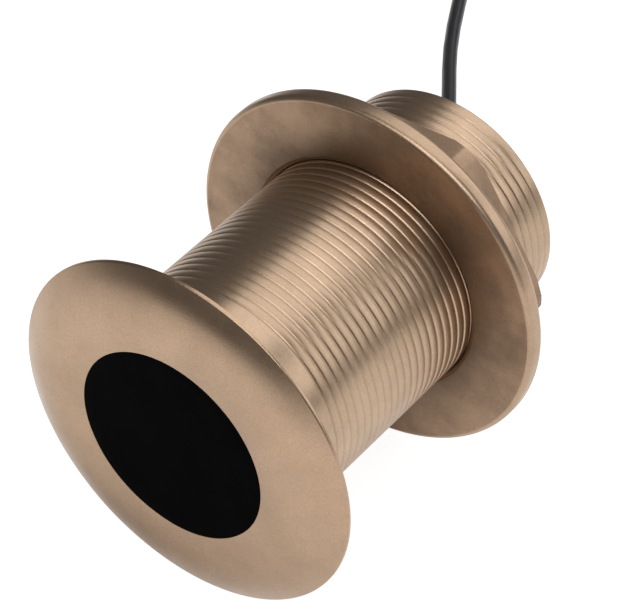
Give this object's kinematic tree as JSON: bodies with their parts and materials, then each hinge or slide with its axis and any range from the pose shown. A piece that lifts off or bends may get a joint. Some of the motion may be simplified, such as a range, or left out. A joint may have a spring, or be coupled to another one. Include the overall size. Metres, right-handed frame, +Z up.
{
  "type": "sonar transducer",
  "caption": "Bronze through-hull sonar transducer: domed flange with a flush black window, threaded stem, hull nut, and a coiled cable with its plug.",
  "frame": {"origin": "on the floor, under the middle of the transducer's box, measured without its cable", "axes": "+Y along the stem from the window's face towards the cable (the stem's axis rises 1.9 degrees along +Y, because the nut's rim is larger than the flange's), +Z up, +X to the right"},
  "size_m": [0.2643, 0.5792, 0.1472],
  "materials": {
    "bronze": "cast bronze, turned and bead blasted to a soft satin",
    "window_black": "black cast urethane, matt",
    "matching_resin": "filled epoxy",
    "ceramic": "fired ceramic with silvered faces",
    "backing_resin": "heavy filled epoxy",
    "sleeve_cork": "cork and rubber sheet",
    "potting_amber": "clear brown potting",
    "wire": "tinned copper",
    "coil_dipped": "varnished winding on a ferrite ring",
    "board_green": "glass fibre board",
    "potting_black": "poured black potting",
    "boot_rubber": "moulded black rubber",
    "cable_jacket": "black jacket, satin",
    "tie_nylon": "hook and loop strap",
    "plug_plastic": "moulded glass-filled nylon",
    "insert_plastic": "moulded insulator",
    "washer_rubber": "silicone seal"
  },
  "bodies": {
    "transducer": {"acoustic_window": "window_black", "backing_disc": "backing_resin", "cable": "cable_jacket", "cable_coil": "cable_jacket", "cable_cores": "wire", "cable_tail": "cable_jacket", "coil_tie_1": "tie_nylon", "coil_tie_2": "tie_nylon", "coil_tie_3": "tie_nylon", "contact_sockets": "wire", "element_leads": "wire", "end_seal": "potting_black", "housing": "bronze", "isolation_sleeve": "sleeve_cork", "matching_layer": "matching_resin", "matching_transformer": "coil_dipped", "piezo_element": "ceramic", "plug_boot": "boot_rubber", "plug_insert": "insert_plastic", "plug_shell": "plug_plastic", "plug_washer": "washer_rubber", "rear_fill": "potting_amber", "strain_relief": "boot_rubber", "terminal_board": "board_green", "terminal_posts": "wire"},
    "nut": {"hull_nut": "bronze"},
    "plug_ring": {"coupling_ring": "plug_plastic"}
  },
  "joints": [
    {"name": "nut_travel", "type": "slide", "parent": "transducer", "child": "nut", "axis": [0, 0.9995, 0.033], "range_m": [-0.095, 0.028]},
    {"name": "ring_turn", "type": "hinge", "parent": "transducer", "child": "plug_ring", "pos_m": [0.02901, 0.4659, 0.011], "axis": [0.9848, -0.1736, 0], "continuous": true}
  ]
}
